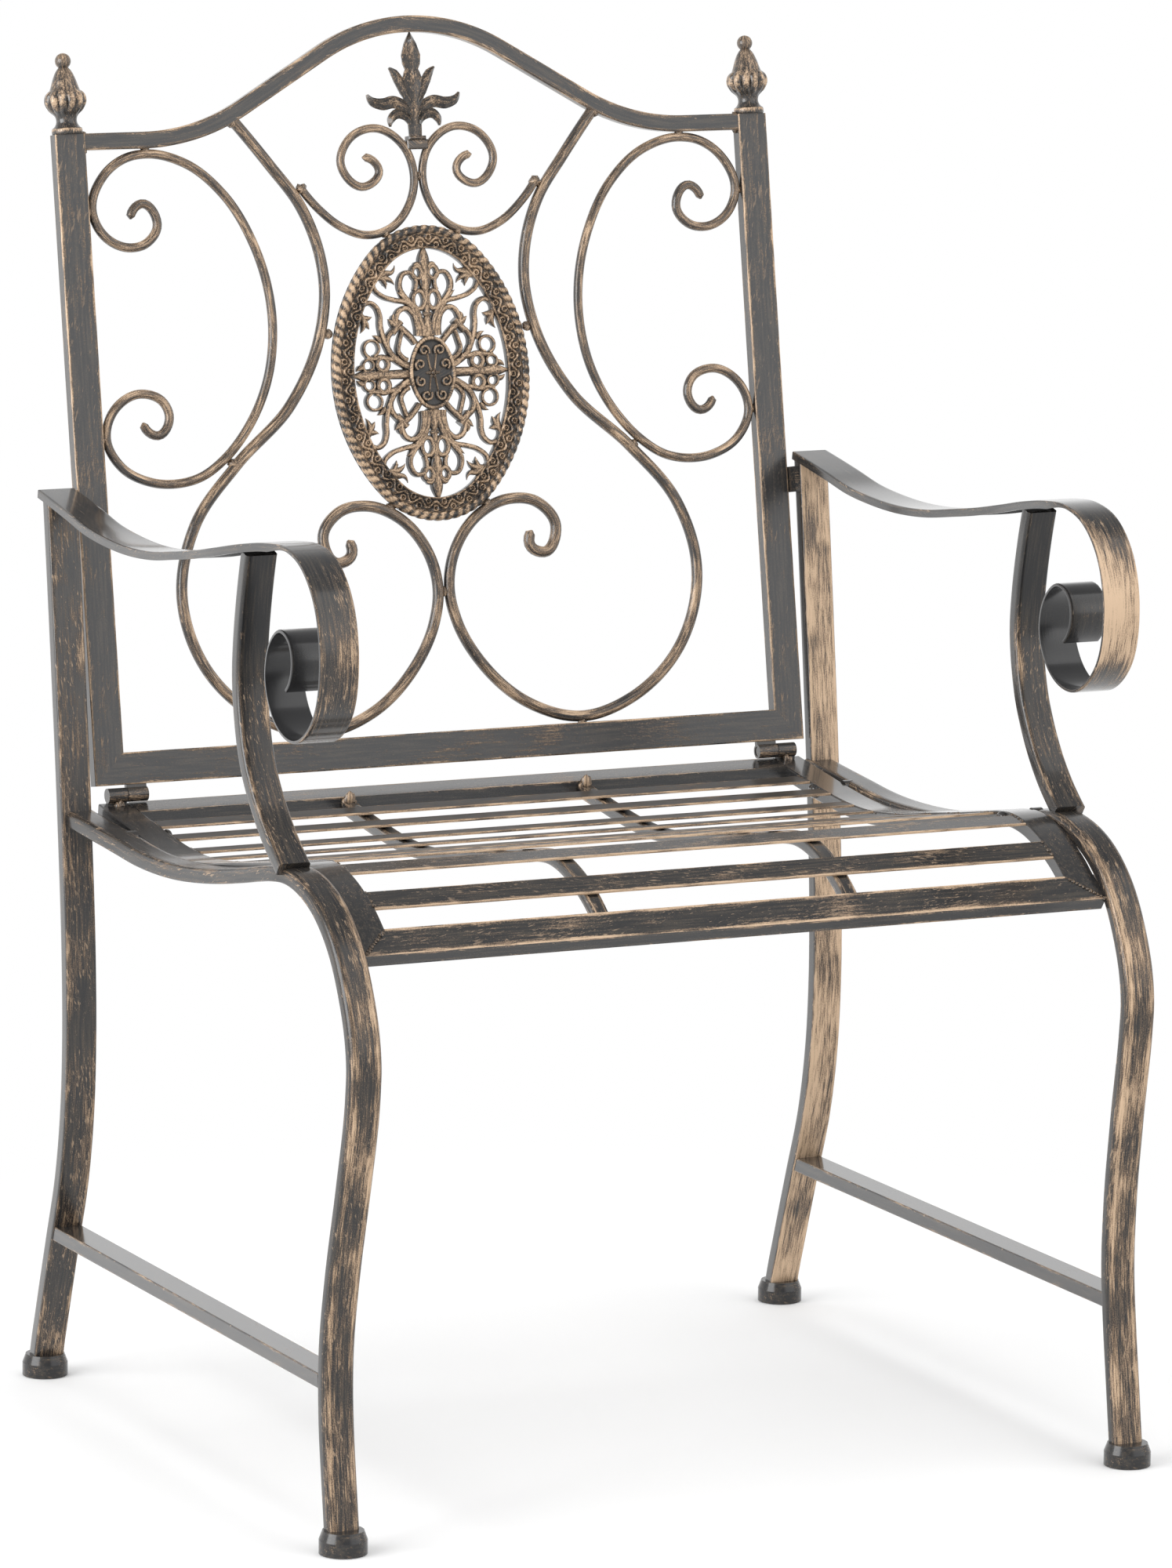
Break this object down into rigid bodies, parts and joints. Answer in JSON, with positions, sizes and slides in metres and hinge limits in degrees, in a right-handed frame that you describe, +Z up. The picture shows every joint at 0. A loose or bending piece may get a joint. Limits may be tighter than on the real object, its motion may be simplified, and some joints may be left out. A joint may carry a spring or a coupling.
{
  "type": "garden chair",
  "caption": "Garden armchair of bent painted steel tube with a slatted contoured seat, rolled arms and a scrollwork back that folds forward on barrel hinges.",
  "frame": {"origin": "on the floor, in the middle of the chair's width and depth", "axes": "+Z up, the chair faces -Y, +X is the side to the right of someone who looks at its front"},
  "size_m": [0.6026, 0.5744, 0.9332],
  "materials": {
    "tube_paint": "dark charcoal satin paint with bronze brush strokes along the tubes",
    "rod_bronzed": "charcoal satin paint, dry-brushed with bronze",
    "cast_bronzed": "dark castings with bronze rubbed over the high places",
    "foot_plastic": "matt dark moulded caps",
    "black_fittings": "black painted steel",
    "hinge_steel": "plain steel pins"
  },
  "bodies": {
    "frame": {"rear_post_left": "tube_paint", "front_leg_left": "tube_paint", "arm_left": "tube_paint", "arm_support_left": "tube_paint", "side_stretcher_left": "tube_paint", "foot_cap_front_left": "foot_plastic", "foot_cap_rear_left": "foot_plastic", "seat_side_rail_left": "tube_paint", "seat_strap_left": "tube_paint", "seat_knuckle_left": "tube_paint", "hinge_pin_left": "hinge_steel", "back_lug_left": "black_fittings", "rear_post_right": "tube_paint", "front_leg_right": "tube_paint", "arm_right": "tube_paint", "arm_support_right": "tube_paint", "side_stretcher_right": "tube_paint", "foot_cap_front_right": "foot_plastic", "foot_cap_rear_right": "foot_plastic", "seat_side_rail_right": "tube_paint", "seat_strap_right": "tube_paint", "seat_knuckle_right": "tube_paint", "hinge_pin_right": "hinge_steel", "back_lug_right": "black_fittings", "seat_front_rail": "tube_paint", "seat_rear_rail": "tube_paint", "seat_slat_01": "tube_paint", "seat_slat_02": "tube_paint", "seat_slat_03": "tube_paint", "seat_slat_04": "tube_paint", "seat_slat_05": "tube_paint", "seat_slat_06": "tube_paint", "seat_slat_07": "tube_paint", "seat_slat_08": "tube_paint", "seat_slat_09": "tube_paint", "seat_slat_10": "tube_paint", "seat_bolts": "black_fittings", "seat_spacers": "black_fittings", "back_bolts": "black_fittings"},
    "back": {"back_upright_left": "tube_paint", "finial_left": "cast_bronzed", "main_scroll_left": "rod_bronzed", "side_scroll_left": "rod_bronzed", "top_scroll_left": "rod_bronzed", "back_knuckle_left": "tube_paint", "back_upright_right": "tube_paint", "finial_right": "cast_bronzed", "main_scroll_right": "rod_bronzed", "side_scroll_right": "rod_bronzed", "top_scroll_right": "rod_bronzed", "back_knuckle_right": "tube_paint", "back_bottom_rail": "tube_paint", "back_top_arch": "tube_paint", "medallion_rim": "cast_bronzed", "medallion_filigree": "cast_bronzed", "medallion_boss": "cast_bronzed", "fleur_ornament": "cast_bronzed"}
  },
  "joints": [
    {"name": "back_fold", "type": "hinge", "parent": "frame", "child": "back", "pos_m": [0, 0.19103, 0.4145], "axis": [1, 0, 0], "range_deg": [0, 95]}
  ]
}
